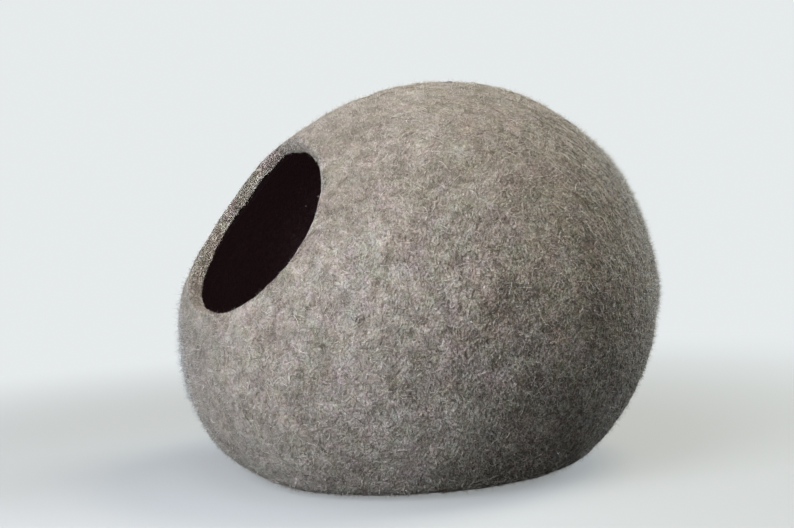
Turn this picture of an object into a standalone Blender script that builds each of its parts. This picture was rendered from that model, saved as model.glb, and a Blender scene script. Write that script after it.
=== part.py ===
"""Felt cat cave: one seamless shell of thick wet-felted wool with an oval mouth cut into it.

The maker lays wool round a ball, felts it into one piece, cuts the mouth, and fulls the
shell until it stands by itself on a flat base.  So the whole cave is one closed solid.
Metres, +Z up, origin on the table under the middle of the cave, mouth facing -Y.
"""
import bpy
import numpy as np

# ---- Driving dimensions (metres, degrees) ---------------------------------------------
HALF_WIDTH = 0.215           # body centre to either side
FRONT_REACH = 0.223          # body centre to the front, before the mouth is cut
BACK_REACH = 0.207           # body centre to the back
TOP_RISE = 0.217             # body centre to the crown
BOTTOM_DROP = 0.183          # how deep the ball would hang if no table pressed it flat
CENTRE_HEIGHT = 0.1335       # table to body centre
BASE_TURN = 0.020            # softness of the turn from the flat base up into the wall
LEAN = 0.117                 # metres that the body leans back for each metre of height
FELT = 0.013                 # wall thickness
EDGE_ROUNDING = 0.002        # softened corners of the cut edge
EDGE_ANGLE = 60.0            # corners sharper than this are softened
LEVEL_SLOPE = 0.05           # directions less steep than this never reach the table

MOUTH_RISE = 27.2            # angle of the mouth's axis above level
MOUTH_RADIUS = 23.2          # mean angular radius of the mouth, seen from the body centre
MOUTH_OVAL = 2.2             # how much wider and lower the oval is than round
MOUTH_TIP = -18.0            # turn of the oval in its own plane
MOUTH_CORNER = 0.55          # slight three-cornered unevenness of the hand cut

SEGMENTS = 60                # columns round the mouth
# Rings from the mouth's edge to the middle of the base: share of the way, number of rings
RING_ZONES = (
    # to_share, rings
    (0.62, 18),              # wall
    (0.78, 8),               # turn into the base
    (1.00, 5),               # flat base
)
# Soft swells (+) and dents (-) of the handmade wall.  Azimuth runs from the front (-Y)
# towards +X, elevation is above level, both seen from the body centre.
SWELLS = (
    # azimuth, elevation, height, spread
    (-33.5, 5.4, 0.0090, 12.5),      # lower lip, at the far side of the mouth
    (-34.0, -29.0, 0.0030, 11.0),    # front foot
    (-16.0, -49.0, -0.0150, 15.0),   # the base turns up early under it
    (-34.0, 60.0, -0.0018, 9.0),     # flat above the mouth
    (-34.0, 79.0, -0.0014, 8.0),     # and again near the crown
    (146.0, 1.0, 0.0022, 8.0),       # back bulge
    (146.0, 12.0, -0.0018, 6.0),
    (146.0, 38.0, 0.0018, 8.0),      # back shoulder
    (146.0, 54.0, -0.0014, 8.0),
    (146.0, -26.0, -0.0026, 7.0),    # waist above the base at the back
    (146.0, -52.0, 0.0022, 9.0),
    (62.0, -8.0, 0.0020, 20.0),      # broad full cheek on the +X side
    (95.0, 35.0, -0.0016, 16.0),
    (-90.0, 12.0, -0.0024, 18.0),    # hand-patted flats and fullness on the -X side
    (-120.0, -15.0, 0.0026, 16.0),
    (-165.0, 30.0, -0.0020, 15.0),
)

BODY_CENTRE = np.array([0.0, 0.0, CENTRE_HEIGHT])
SIDEWAYS = np.array([1.0, 0.0, 0.0])


# ---- The shape of the outer face --------------------------------------------------------
def heading(azimuth, elevation):
    """Unit vector at an azimuth from the front towards +X and an elevation, in degrees."""
    a = np.radians(azimuth)
    e = np.radians(elevation)
    return np.array([np.sin(a) * np.cos(e), -np.cos(a) * np.cos(e), np.sin(e)])


def soft_minimum(first, second, softness):
    """The smaller of two distances, with their meeting rounded off over the softness."""
    overlap = np.maximum(softness - np.abs(first - second), 0.0)
    return np.minimum(first, second) - overlap ** 2 / (4.0 * softness)


def outer_face(direction):
    """Points of the outer face in the given unit directions from the body centre.

    Each direction meets an ellipsoid whose half-lengths differ for front and back, and
    for top and bottom.  Swells are added, the table presses the bottom flat, and the
    whole body leans back a little with height.
    """
    x, y, z = np.moveaxis(direction, -1, 0)
    reach = np.where(y < 0, FRONT_REACH, BACK_REACH)
    drop = np.where(z < 0, BOTTOM_DROP, TOP_RISE)
    distance = 1.0 / np.sqrt((x / HALF_WIDTH) ** 2 + (y / reach) ** 2 + (z / drop) ** 2)
    for azimuth, elevation, height, spread in SWELLS:
        away = np.degrees(np.arccos(np.clip(direction @ heading(azimuth, elevation), -1, 1)))
        distance = distance + height * np.exp(-((away / spread) ** 2))
    to_table = CENTRE_HEIGHT / np.maximum(-z, LEVEL_SLOPE)
    distance = soft_minimum(distance, to_table, BASE_TURN)
    point = direction * distance[..., None]
    point[..., 1] += LEAN * point[..., 2]
    point = point + BODY_CENTRE
    point[..., 2] = np.maximum(point[..., 2], 0.0)
    return point


def ring_directions(share, around):
    """Directions on rings that open from the mouth and close again under the base.

    At share 0 the ring is the mouth's edge, about the mouth's axis.  As the share grows
    the ring opens and its centre walks up to the plumb line, so that the last rings lie
    level round the foot of the plumb line.
    """
    tilt = np.radians(MOUTH_RISE + (90.0 - MOUTH_RISE) * share)
    zero = np.zeros_like(tilt)
    centre = np.stack([zero, -np.cos(tilt), np.sin(tilt)], axis=-1)
    upward = np.stack([zero, np.sin(tilt), np.cos(tilt)], axis=-1)
    oval = MOUTH_OVAL * np.cos(2.0 * (around - np.radians(MOUTH_TIP)))
    corner = MOUTH_CORNER * np.cos(3.0 * around)
    edge = np.radians(MOUTH_RADIUS + oval + corner)
    radius = edge * (1.0 - share) + np.pi * share
    across = np.cos(around)[..., None] * SIDEWAYS + np.sin(around)[..., None] * upward
    return np.cos(radius)[..., None] * centre + np.sin(radius)[..., None] * across


def ring_shares():
    """Shares of the way from the mouth's edge to the base for each ring, ends included."""
    shares = [0.0]
    for to_share, rings in RING_ZONES:
        step = (to_share - shares[-1]) / rings
        shares.extend(shares[-1] + step * np.arange(1, rings + 1))
    return np.array(shares)


# ---- Mesh, thickness and edge ------------------------------------------------------------
def outer_mesh(name):
    """The outer face as rings of quads round the mouth, closed at the middle of the base."""
    shares = ring_shares()[:-1]
    around = np.arange(SEGMENTS) * 2.0 * np.pi / SEGMENTS
    share_grid, around_grid = np.meshgrid(shares, around, indexing="ij")
    rings = outer_face(ring_directions(share_grid, around_grid))
    foot = outer_face(np.array([[0.0, 0.0, -1.0]]))
    points = np.concatenate([rings.reshape(-1, 3), foot])
    middle = (points.min(axis=0) + points.max(axis=0)) / 2.0
    points[:, :2] -= middle[:2]

    faces = []
    for ring in range(len(shares) - 1):
        for column in range(SEGMENTS):
            following = (column + 1) % SEGMENTS
            low = ring * SEGMENTS
            high = low + SEGMENTS
            faces.append((low + column, high + column, high + following, low + following))
    last = (len(shares) - 1) * SEGMENTS
    for column in range(SEGMENTS):
        faces.append((last + column, len(points) - 1, last + (column + 1) % SEGMENTS))

    mesh = bpy.data.meshes.new(name)
    mesh.from_pydata(points.tolist(), [], faces)
    mesh.update()
    mesh.shade_smooth()
    return mesh


def felt_material():
    """Heathered grey-brown wool."""
    material = bpy.data.materials.new("grey_brown_wool")
    material.use_nodes = True
    shader = material.node_tree.nodes["Principled BSDF"]
    shader.inputs["Base Color"].default_value = (0.33, 0.295, 0.26, 1.0)
    shader.inputs["Roughness"].default_value = 0.95
    shader.inputs["Metallic"].default_value = 0.0
    return material


def make_shell():
    """The cave: the outer face, thickened inwards, with the cut edge softened."""
    mesh = outer_mesh("felt_shell")
    mesh.materials.append(felt_material())
    shell = bpy.data.objects.new("felt_shell", mesh)
    bpy.context.scene.collection.objects.link(shell)

    thickness = shell.modifiers.new("felt_thickness", "SOLIDIFY")
    thickness.thickness = FELT
    thickness.offset = -1.0
    thickness.use_even_offset = True

    edge = shell.modifiers.new("soft_cut_edge", "BEVEL")
    edge.width = EDGE_ROUNDING
    edge.segments = 2
    edge.limit_method = "ANGLE"
    edge.angle_limit = np.radians(EDGE_ANGLE)
    return shell


def main():
    for old in list(bpy.data.objects):
        bpy.data.objects.remove(old, do_unlink=True)
    make_shell()


main()
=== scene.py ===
# %% [markdown]
# # A felted cat cave
#
# This lesson dresses a hollow ball of wool felt that a cat sleeps in. A maker lays loose
# wool round a ball, wets and rolls it until it shrinks into one thick seamless skin, cuts
# an oval mouth with scissors and presses the bottom flat. There is no seam, stitch or
# lining, so the looks rest on four things: the slightly uneven round of the body, the cut
# lip, the heathered mix of grey and brown wool, and the loose fibres that stand out of it.
#
# The construction model is loaded first as a fixed frame. It gives the size and the place
# of the shell, and everything below is built round it in metres, with the mouth facing -Y.

# %% Load the frame
import math

import bpy
import numpy as np
from mathutils import Matrix, Vector


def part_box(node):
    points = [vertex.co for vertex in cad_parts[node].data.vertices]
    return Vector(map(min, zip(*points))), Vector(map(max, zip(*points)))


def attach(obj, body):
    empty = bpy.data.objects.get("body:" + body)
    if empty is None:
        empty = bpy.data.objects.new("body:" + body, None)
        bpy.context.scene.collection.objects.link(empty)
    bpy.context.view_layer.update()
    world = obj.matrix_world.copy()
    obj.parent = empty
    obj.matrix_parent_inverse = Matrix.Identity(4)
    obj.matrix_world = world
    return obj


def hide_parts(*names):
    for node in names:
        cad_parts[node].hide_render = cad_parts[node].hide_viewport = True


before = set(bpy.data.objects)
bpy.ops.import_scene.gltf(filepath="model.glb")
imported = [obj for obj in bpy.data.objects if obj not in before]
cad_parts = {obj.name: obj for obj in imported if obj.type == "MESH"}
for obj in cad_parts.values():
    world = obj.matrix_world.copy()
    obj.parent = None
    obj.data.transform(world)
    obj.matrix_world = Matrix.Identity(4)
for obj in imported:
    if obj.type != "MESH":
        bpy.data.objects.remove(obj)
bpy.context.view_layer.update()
SHELL_LOW, SHELL_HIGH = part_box("felt_shell")
SHELL_SIZE = SHELL_HIGH - SHELL_LOW
print("shell size", [round(side, 4) for side in SHELL_SIZE])

# %% [markdown]
# ## Camera
#
# The camera stands low beside the cave and looks slightly across the mouth, so that the
# far lip shows as a thin band in front of the dark inside. It could be aimed with a
# tracking constraint. Here its axes are worked out from four angles, because the camera
# is also rolled a little, as a hand-held one is.

# %% Camera
CAMERA_AROUND = 56.354       # degrees round the cave from its mouth, towards +X
CAMERA_AWAY = 1.04366        # metres from the cave's upright axis
CAMERA_HEIGHT = 0.21084
CAMERA_FORWARD_SHIFT = 0.0079
CAMERA_YAW = 1.2714          # aimed a little past the axis
CAMERA_DOWN = 1.4629
CAMERA_ROLL = 2.9519
SENSOR_WIDTH = 36.0
LENS = 50.78


def camera_axes():
    """The camera's right, up and backward unit vectors.

    Forward comes from the yaw and the downward tilt.  Right is forward crossed with the
    plumb line, and both right and up are then turned about forward by the roll.
    """
    yaw = math.radians(CAMERA_AROUND + CAMERA_YAW)
    down = math.radians(CAMERA_DOWN)
    roll = math.radians(CAMERA_ROLL)
    ahead = math.cos(down)
    forward = Vector((-math.sin(yaw) * ahead, math.cos(yaw) * ahead, -math.sin(down)))
    level = forward.cross(Vector((0.0, 0.0, 1.0))).normalized()
    upright = level.cross(forward)
    right = level * math.cos(roll) - upright * math.sin(roll)
    up = level * math.sin(roll) + upright * math.cos(roll)
    return right, up, -forward


def add_camera():
    """A camera at its distance and angle round the cave, with the axes from above."""
    around = math.radians(CAMERA_AROUND)
    place = Vector((math.sin(around) * CAMERA_AWAY, -math.cos(around) * CAMERA_AWAY, CAMERA_HEIGHT))
    place.y += CAMERA_FORWARD_SHIFT
    camera = bpy.data.objects.new("camera", bpy.data.cameras.new("camera"))
    bpy.context.scene.collection.objects.link(camera)
    camera.data.sensor_width = SENSOR_WIDTH
    camera.data.lens = LENS
    turn = Matrix(camera_axes()).transposed().to_4x4()
    camera.matrix_world = Matrix.Translation(place) @ turn
    bpy.context.scene.camera = camera
    return camera


camera = add_camera()
print("camera at", [round(value, 3) for value in camera.matrix_world.translation])

# %% [markdown]
# ## The round of the body
#
# A felted ball is close to an ellipsoid, but its front, back, top and bottom all have
# their own reach, it leans back a little, and the table presses its foot flat. It could
# be sculpted from a sphere. A formula is used instead: every direction from the middle of
# the body gets one distance to the skin. That makes the same surface as the construction
# model, and any other piece, such as a hair, can ask where the skin is.
#
# The hand's touch is a short table of swells and dents, each a soft bell of a height and
# a spread, placed by its angle round the cave and its angle above level.

# %% The skin as a distance in every direction
HALF_WIDTH = 0.215
FRONT_REACH = 0.223
BACK_REACH = 0.207
TOP_RISE = 0.217
BOTTOM_DROP = 0.183
CENTRE_HEIGHT = 0.1335
BASE_TURN = 0.020            # softness of the turn from the flat base up into the wall
LEAN = 0.117                 # metres back for each metre up
LEVEL_SLOPE = 0.05           # directions less steep than this never reach the table
BODY_CENTRE = np.array([0.0, 0.0, CENTRE_HEIGHT])
SWELLS = np.array([
    # around, above level, height, spread
    (-33.5, 5.4, 0.0090, 12.5),      # lower lip, at the far side of the mouth
    (-34.0, -29.0, 0.0030, 11.0),    # front foot
    (-16.0, -49.0, -0.0150, 15.0),   # the base turns up early under it
    (-34.0, 60.0, -0.0018, 9.0),     # flat above the mouth
    (-34.0, 79.0, -0.0014, 8.0),     # and again near the crown
    (146.0, 1.0, 0.0022, 8.0),       # back bulge
    (146.0, 12.0, -0.0018, 6.0),
    (146.0, 38.0, 0.0018, 8.0),      # back shoulder
    (146.0, 54.0, -0.0014, 8.0),
    (146.0, -26.0, -0.0026, 7.0),    # waist above the base at the back
    (146.0, -52.0, 0.0022, 9.0),
    (62.0, -8.0, 0.0020, 20.0),      # broad full cheek on the +X side
    (95.0, 35.0, -0.0016, 16.0),
    (-90.0, 12.0, -0.0024, 18.0),    # hand-patted flats and fullness on the -X side
    (-120.0, -15.0, 0.0026, 16.0),
    (-165.0, 30.0, -0.0020, 15.0),
])


def heading(around, above):
    """Unit vectors at angles round the cave from -Y towards +X and above level, in degrees."""
    turn = np.radians(around)
    rise = np.radians(above)
    level = np.cos(rise)
    return np.stack([np.sin(turn) * level, -np.cos(turn) * level, np.sin(rise)], axis=-1)


def bells(direction, table):
    """The sum of the table's soft bells: height times exp(-(angle away / spread) squared)."""
    toward = heading(table[:, 0], table[:, 1])
    away = np.degrees(np.arccos(np.clip(direction @ toward.T, -1.0, 1.0)))
    return (table[:, 2] * np.exp(-((away / table[:, 3]) ** 2))).sum(axis=-1)


def soft_minimum(first, second, softness):
    """The smaller of two distances, with their meeting rounded off over the softness."""
    overlap = np.maximum(softness - np.abs(first - second), 0.0)
    return np.minimum(first, second) - overlap ** 2 / (4.0 * softness)


def body_face(direction, extra=0.0):
    """Points of the outer face in unit directions from the middle of the body.

    The distance is one over the length of (x / width, y / reach, z / height), the
    ellipsoid's own formula, plus the swells and any extra.  The table cuts it off below,
    and the point then leans back with its height.
    """
    x, y, z = np.moveaxis(direction, -1, 0)
    reach = np.where(y < 0, FRONT_REACH, BACK_REACH)
    height = np.where(z < 0, BOTTOM_DROP, TOP_RISE)
    distance = 1.0 / np.sqrt((x / HALF_WIDTH) ** 2 + (y / reach) ** 2 + (z / height) ** 2)
    distance = distance + bells(direction, SWELLS) + extra
    to_table = CENTRE_HEIGHT / np.maximum(-z, LEVEL_SLOPE)
    distance = soft_minimum(distance, to_table, BASE_TURN)
    point = direction * distance[..., None]
    point[..., 1] += LEAN * point[..., 2]
    point = point + BODY_CENTRE
    point[..., 2] = np.maximum(point[..., 2], 0.0)
    return point


CROWN = body_face(heading(np.array([0.0]), np.array([90.0])))[0]
print("the crown stands", round(float(CROWN[2]), 4), "m above the table")

# %% [markdown]
# ## Rings from the mouth to the foot
#
# The grid on the body starts at the mouth and ends under the foot. Its rings are circles
# of directions: the first is the cut edge, about the mouth's axis, and each next one is
# wider, with its centre turned further towards the plumb line. So the cut edge is a row of
# the grid, and the last ring closes on one point at the middle of the base.
#
# Scissors never follow a perfect oval. A boolean cutter could take an oval hole out of the
# body, but its edge would be too even. Here the edge's distance from the mouth's axis is an
# oval plus a short table of hand cuts and a few small waves, so its waver is easy to change.

# %% Rings round the mouth
MOUTH_RISE = 27.2            # degrees of the mouth's axis above level
MOUTH_RADIUS = 23.2          # degrees, seen from the middle of the body
MOUTH_OVAL = 2.2
MOUTH_TIP = -18.0
MOUTH_CORNER = 0.55
SIDEWAYS = np.array([1.0, 0.0, 0.0])
SCISSOR_WAVES = np.array([
    # waves round the mouth, swing in degrees, start in degrees
    (11.0, 0.03, 200.0),
    (17.0, 0.04, 95.0),
    (31.0, 0.04, 310.0),
    (47.0, 0.03, 20.0),
])
MOUTH_TRIM = 0.22            # the scissors took a little more than the frame's edge
HAND_CUT = np.array([
    # place round the mouth from +X upwards, change in degrees, spread in degrees
    (5.0, 0.22, 26.0),
    (42.0, 0.28, 13.0),
    (94.0, -0.80, 10.0),
    (118.0, 0.40, 16.0),
    (172.0, 0.15, 14.0),
    (258.0, -0.35, 8.0),
    (272.0, -0.35, 9.0),
    (278.0, 0.20, 26.0),
    (303.0, 0.28, 13.0),
])


def round_bells(around, table):
    """Soft bells round the mouth: height times exp(-(angle away / spread) squared)."""
    place, height, spread = table.T
    away = (np.degrees(around)[..., None] - place + 180.0) % 360.0 - 180.0
    return (height * np.exp(-((away / spread) ** 2))).sum(axis=-1)


def mouth_edge(around):
    """The cut edge's angular radius, in radians.

    It is a circle, plus an oval (cosine of twice the angle), a corner (cosine of three
    times it), the hand cuts and the scissors' waver.
    """
    oval = MOUTH_OVAL * np.cos(2.0 * (around - np.radians(MOUTH_TIP)))
    corner = MOUTH_CORNER * np.cos(3.0 * around)
    waves, swing, start = SCISSOR_WAVES.T
    waver = (swing * np.sin(around[..., None] * waves + np.radians(start))).sum(axis=-1)
    by_hand = round_bells(around, HAND_CUT)
    return np.radians(MOUTH_RADIUS + MOUTH_TRIM + oval + corner + waver + by_hand)


def ring_direction(share, around):
    """Directions on the rings: share 0 is the cut edge, share 1 the middle of the foot."""
    tilt = np.radians(MOUTH_RISE + (90.0 - MOUTH_RISE) * share)
    level = np.zeros_like(tilt)
    centre = np.stack([level, -np.cos(tilt), np.sin(tilt)], axis=-1)
    upward = np.stack([level, np.sin(tilt), np.cos(tilt)], axis=-1)
    radius = mouth_edge(around) * (1.0 - share) + np.pi * share
    across = np.cos(around)[..., None] * SIDEWAYS + np.sin(around)[..., None] * upward
    return np.cos(radius)[..., None] * centre + np.sin(radius)[..., None] * across


edge_angles = np.degrees(mouth_edge(np.linspace(0.0, 2.0 * np.pi, 240)))
print("the mouth's radius in degrees", edge_angles.min().round(2), "to", edge_angles.max().round(2))

# %% Lay the formula over the frame
BOX_ROWS = 160               # a coarse grid is enough to measure the formula's box
BOX_COLUMNS = 240


def frame_shift():
    """How far the formula's box has to move to lie over the construction model's box."""
    shares = np.linspace(0.0, 1.0, BOX_ROWS)
    turns = np.linspace(0.0, 2.0 * np.pi, BOX_COLUMNS)
    share, around = np.meshgrid(shares, turns, indexing="ij")
    points = body_face(ring_direction(share, around)).reshape(-1, 3)
    middle = (points.min(axis=0) + points.max(axis=0)) / 2.0
    wanted = np.array((SHELL_LOW + SHELL_HIGH) / 2.0)
    size = points.max(axis=0) - points.min(axis=0)
    print("formula's size differs by (mm)", np.round((size - np.array(SHELL_SIZE)) * 1000.0, 2))
    return np.array([wanted[0] - middle[0], wanted[1] - middle[1], 0.0])


SHIFT = frame_shift()
print("shift onto the frame (mm)", np.round(SHIFT * 1000.0, 2))

# %% [markdown]
# ## The unevenness of hand felting
#
# Close up, felt is never smooth. Wool shrinks unevenly, so the skin is faintly lumpy at
# the width of a thumb and pebbly at the width of a grain of rice. A displacement texture
# could do it, but then the hairs would not know where the skin went. So the lumps are part
# of the skin's formula: a sum of many plane waves with random headings, one set for each
# size of lump. A few soft creases and ridges are then listed one by one, each a line between
# two places on the skin with a bell for its section.

# %% Lumps, creases and ridges
PATTED = np.array([
    # around, above level, height, spread: places where the dressed skin leaves the frame
    (-13.0, -33.0, 0.0028, 8.0),     # fuller foot in front
    (-26.0, -2.0, -0.0015, 7.0),     # flatter below the mouth
    (-22.0, 10.0, 0.0012, 4.5),      # fuller corner of the far lip
    (-34.0, 33.0, -0.0012, 9.0),     # flatter beside and above it
    (-28.0, 56.0, -0.0016, 12.0),
    (146.0, 50.0, -0.0010, 12.0),    # flatter far shoulder
    (146.0, 28.0, -0.0013, 10.0),
    (134.0, 30.0, -0.0008, 14.0),
    (134.0, 7.0, 0.0024, 5.0),       # and a small fullness below it
    (134.0, -5.0, -0.0012, 4.5),
])
LUMPS = (
    # wavelength in metres, height in metres, waves
    (0.080, 0.00028, 14),
    (0.034, 0.00022, 26),
    (0.014, 0.00012, 44),
)
CREASES = np.array([
    # around, above level at one end; the same at the other end; height, width in degrees
    (43.2, 11.0, 43.8, -1.0, -0.00045, 1.1),     # short upright crease beside the mouth
    (30.5, -8.0, 35.5, -8.4, -0.00040, 1.0),     # two short ones low in front
    (25.0, -13.5, 29.5, -12.0, -0.00035, 1.1),
    (105.0, 48.0, 115.0, 37.0, -0.00100, 1.5),   # trough that runs down the far shoulder
    (115.0, 37.0, 122.0, 19.0, -0.00090, 1.4),
    (100.0, 47.0, 110.0, 35.0, 0.00060, 1.6),    # and the wool heaped on either side of it
    (110.0, 35.0, 115.0, 20.0, 0.00050, 1.5),
    (111.0, 50.0, 120.0, 39.0, 0.00055, 1.5),
    (120.0, 39.0, 127.0, 24.0, 0.00060, 1.6),
    (70.0, 13.0, 77.0, 11.0, 0.00040, 1.6),      # rim of a shallow patted place on the cheek
    (77.0, 11.0, 79.5, 4.0, 0.00040, 1.6),
    (66.0, 8.0, 64.5, 1.0, 0.00035, 1.8),
    (88.0, -20.0, 97.0, -24.0, -0.00050, 1.9),
    (48.0, -24.0, 60.0, -27.0, 0.00045, 2.2),
    (-55.0, 30.0, -62.0, 12.0, -0.00050, 1.8),
    (-84.0, -10.0, -97.0, -14.0, 0.00050, 2.2),
    (-128.0, 28.0, -140.0, 20.0, -0.00060, 2.0),
    (178.0, 45.0, 190.0, 33.0, 0.00055, 2.0),
    (168.0, 8.0, 172.0, -10.0, -0.00050, 2.0),
])
CREASE_END = 0.35            # share of its height that a crease keeps at its ends
print(len(PATTED), "patted places and", len(CREASES), "creases and ridges")

# %% [markdown]
# ## Paler and darker places
#
# A maker tears the wool from a mixed batch and lays it down in tufts, so no two hand
# breadths of the skin have quite the same tone. Noise alone would spread such clouds evenly.
# These are listed one by one instead, as soft bells, like the swells of the body. On the +X
# side towards the back, called the far side from here on, the grain is made coarser and the
# tone a little paler. That side faces away from the lamps: the broad paler place there is
# painted light, and the coarser grain is partly painted shade. Both tables become values that
# the mesh carries at its points, for the material to read.

# %% Paler, darker and coarser places
PALER = np.array([
    # around, above level, how much paler or (-) darker the wool is there, spread
    # in front, below and above the mouth
    (-12.0, 1.0, -0.13, 10.0),
    (0.0, -2.0, -0.045, 7.0),
    (4.0, -1.0, -0.06, 9.0),
    (12.5, 59.5, -0.05, 6.0),
    (14.0, -21.0, -0.06, 6.0),
    (19.0, -5.0, -0.04, 6.0),
    # beside the mouth, towards +X
    (26.0, -31.0, 0.06, 6.0),
    (26.5, 0.5, -0.05, 7.0),
    (27.0, 47.0, -0.11, 9.0),
    (31.0, 21.0, -0.09, 4.0),
    (33.0, -9.5, -0.09, 4.0),
    (42.0, -14.0, 0.07, 8.0),
    (44.0, 26.0, -0.06, 4.0),
    (44.6, 58.0, 0.06, 8.0),
    (47.0, -5.0, 0.05, 4.5),
    (47.0, 5.0, 0.07, 4.0),
    (48.0, 14.5, 0.07, 5.0),
    (49.5, 38.5, 0.06, 5.0),
    # the cheek
    (53.0, -33.0, 0.08, 6.0),
    (54.0, -1.0, -0.05, 5.0),
    (58.5, 9.5, 0.05, 4.5),
    (59.0, 0.0, 0.07, 4.0),
    (60.0, -23.0, 0.06, 4.0),
    (62.0, 38.0, -0.05, 5.0),
    (64.5, -17.0, 0.13, 7.0),
    (65.0, 13.0, 0.07, 5.0),
    (67.0, -23.0, 0.07, 6.0),
    (67.5, -31.0, -0.11, 4.5),
    # the side
    (71.0, -1.5, 0.07, 4.5),
    (71.0, 5.5, -0.12, 4.5),
    (73.0, -11.0, 0.08, 3.5),
    (74.0, -17.0, -0.07, 4.5),
    (74.0, 21.0, -0.07, 6.0),
    (78.0, -1.5, 0.10, 4.5),
    (78.0, 19.0, 0.14, 5.5),
    (79.0, -33.0, -0.10, 6.0),
    (79.5, -12.0, -0.09, 4.0),
    (83.0, -24.5, 0.12, 6.0),
    (86.0, 7.5, 0.18, 5.5),
    (89.0, -11.0, 0.05, 5.0),
    # the far side, one broad paler place under smaller ones; the broad one is painted light on the side that
    # faces away from the lamps
    (93.5, 1.5, -0.07, 4.5),
    (98.0, 2.0, -0.06, 6.0),
    (99.5, -9.0, -0.08, 6.0),
    (100.0, -35.0, -0.07, 6.0),
    (101.0, 20.0, -0.08, 6.0),
    (103.0, -18.0, 0.07, 5.0),
    (107.0, -25.0, 0.14, 10.0),
    (112.0, -12.0, 0.06, 8.0),
    (123.0, 4.0, 0.18, 9.0),
    (125.0, -10.0, 0.170, 46.0),
])
COARSE_GRAIN_AND_PAINTED_SHADE = np.array([
    # around, above level, how much coarser the grain is there, partly painted shade, spread
    (114.0, -14.0, 1.0, 46.0),
])
COARSE_AND_PAINTED_SHADE_ELSEWHERE = 0.3       # on the lip and inside
print(len(PALER), "paler and darker places")

# %% The skin with its handwork
def plane_waves(point, wavelength, count, seed):
    """A random field of about unit swing.

    It is the sum of sines along random headings, times the root of two over their number.
    """
    draw = np.random.default_rng(seed)
    lie = draw.normal(size=(count, 3))
    lie /= np.linalg.norm(lie, axis=1)[:, None]
    stretch = draw.uniform(0.75, 1.3, size=(count, 1))
    start = draw.uniform(0.0, 2.0 * np.pi, size=count)
    phase = point @ (lie * stretch * 2.0 * np.pi / wavelength).T + start
    return np.sin(phase).sum(axis=-1) * np.sqrt(2.0 / count)


def crease_height(direction, table):
    """Soft troughs and ridges: a bell of the distance to the line between two directions.

    Each fades towards its ends, as half a sine along the line does.
    """
    one = heading(table[:, 0], table[:, 1])
    two = heading(table[:, 2], table[:, 3])
    along = two - one
    share = ((direction[..., None, :] - one) * along).sum(axis=-1) / (along ** 2).sum(axis=-1)
    share = np.clip(share, 0.0, 1.0)
    nearest = one + share[..., None] * along
    away = np.degrees(np.linalg.norm(direction[..., None, :] - nearest, axis=-1))
    fade = CREASE_END + (1.0 - CREASE_END) * np.sin(np.pi * np.clip(share, 0.03, 0.97))
    return (table[:, 4] * fade * np.exp(-((away / table[:, 5]) ** 2))).sum(axis=-1)


def handwork(direction):
    """Everything the hands left on the skin, in metres outwards."""
    height = crease_height(direction, CREASES) + bells(direction, PATTED)
    for seed, (wavelength, swing, waves) in enumerate(LUMPS):
        height = height + swing * plane_waves(direction * HALF_WIDTH, wavelength, waves, seed)
    return height


def skin(direction):
    """The finished outer face, in its place in the frame."""
    return body_face(direction, handwork(direction)) + SHIFT


def unit(vector):
    """Vectors scaled to length one."""
    return vector / np.linalg.norm(vector, axis=-1)[..., None]


def direction_of(point):
    """The direction from the middle of the body in which a point near the skin lies."""
    away = point - SHIFT - BODY_CENTRE
    away[..., 1] -= LEAN * away[..., 2]
    return unit(away)


print("lumps swing by about (mm)", [round(swing * 1000.0, 2) for _, swing, _ in LUMPS])

# %% [markdown]
# ## The shell with its cut lip
#
# The felt is one closed skin: out over the body, round the thick cut lip, and back down
# inside. Thickening a single sheet with a modifier would give a square cut. Here one grid
# is carried through all three stretches, so the lip can have its own section: the outer
# corner is rubbed round, the cut face bellies out, and the inner corner stays sharper.
#
# The lip is not equally thick all round, because scissors slant as they turn. A short table
# of beads makes the inner face nearer or further along it.

# %% Sizes of the wall and the lip
FELT = 0.013                 # wall thickness
LIP_BACK = 0.0060            # how far back from the cut the lip's rounding starts
OUTER_ROUND = 0.0036         # radius of the rubbed outer corner
INNER_ROUND = 0.0012         # radius of the inner corner, left sharper
CUT_BULGE = 0.0006           # how far the cut face bellies out
CUT_ROUGH = 0.00016          # its unevenness, in waves of two lengths
CUT_WAVES = (0.009, 0.004)
CUT_WAVE_COUNT = 40
CUT_SEED = 31
LIP_ZONES = (7, 7, 5)        # rows over the outer corner, the cut face and the inner corner
INNER_MIDDLE = 3             # rows from the lip's end back to the middle of its inner corner
COLUMNS = 380                # points round the mouth in each row
LIP_SHARE = 0.0100           # share of the way to the foot that LIP_BACK takes
OUTER_ZONES = (
    # to_share, rows
    (0.05, 16),
    (0.62, 104),
    (0.80, 34),
    (0.96, 10),
)
INNER_ZONES = (
    # to_share, rows
    (0.05, 10),
    (0.70, 40),
    (0.94, 14),
)
INSIDE_LUMPS = (
    # wavelength in metres, height in metres, waves: the inside is left rougher than the outside
    (0.028, 0.00050, 30),
    (0.012, 0.00025, 40),
)
INSIDE_LUMPS_SEED = 11
INSIDE_LUMPS_MOST = 0.0012   # taller lumps are flattened to this
INSIDE_LUMPS_FADE = 0.06     # share of the way over which they grow from nothing at the lip
LIP_BEADS = np.array([
    # place round the mouth, extra thickness of the lip in metres, spread in degrees
    (118.0, -0.0018, 9.0),
    (141.0, -0.0013, 8.0),
    (155.0, 0.0007, 10.0),
    (177.0, -0.0006, 10.0),
    (202.0, 0.0004, 10.0),
    (232.0, -0.0010, 14.0),
    (260.0, -0.0008, 13.0),
])
BEAD_SHARE = 0.05            # share of the way to the foot over which it thins out again
print("felt", FELT, "m thick; lip rounded by", OUTER_ROUND, "and", INNER_ROUND, "m")

# %% Rows of the outer and the inner face
NEARBY = 0.002               # small step between rings, or round them, for finding the normal


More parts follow.
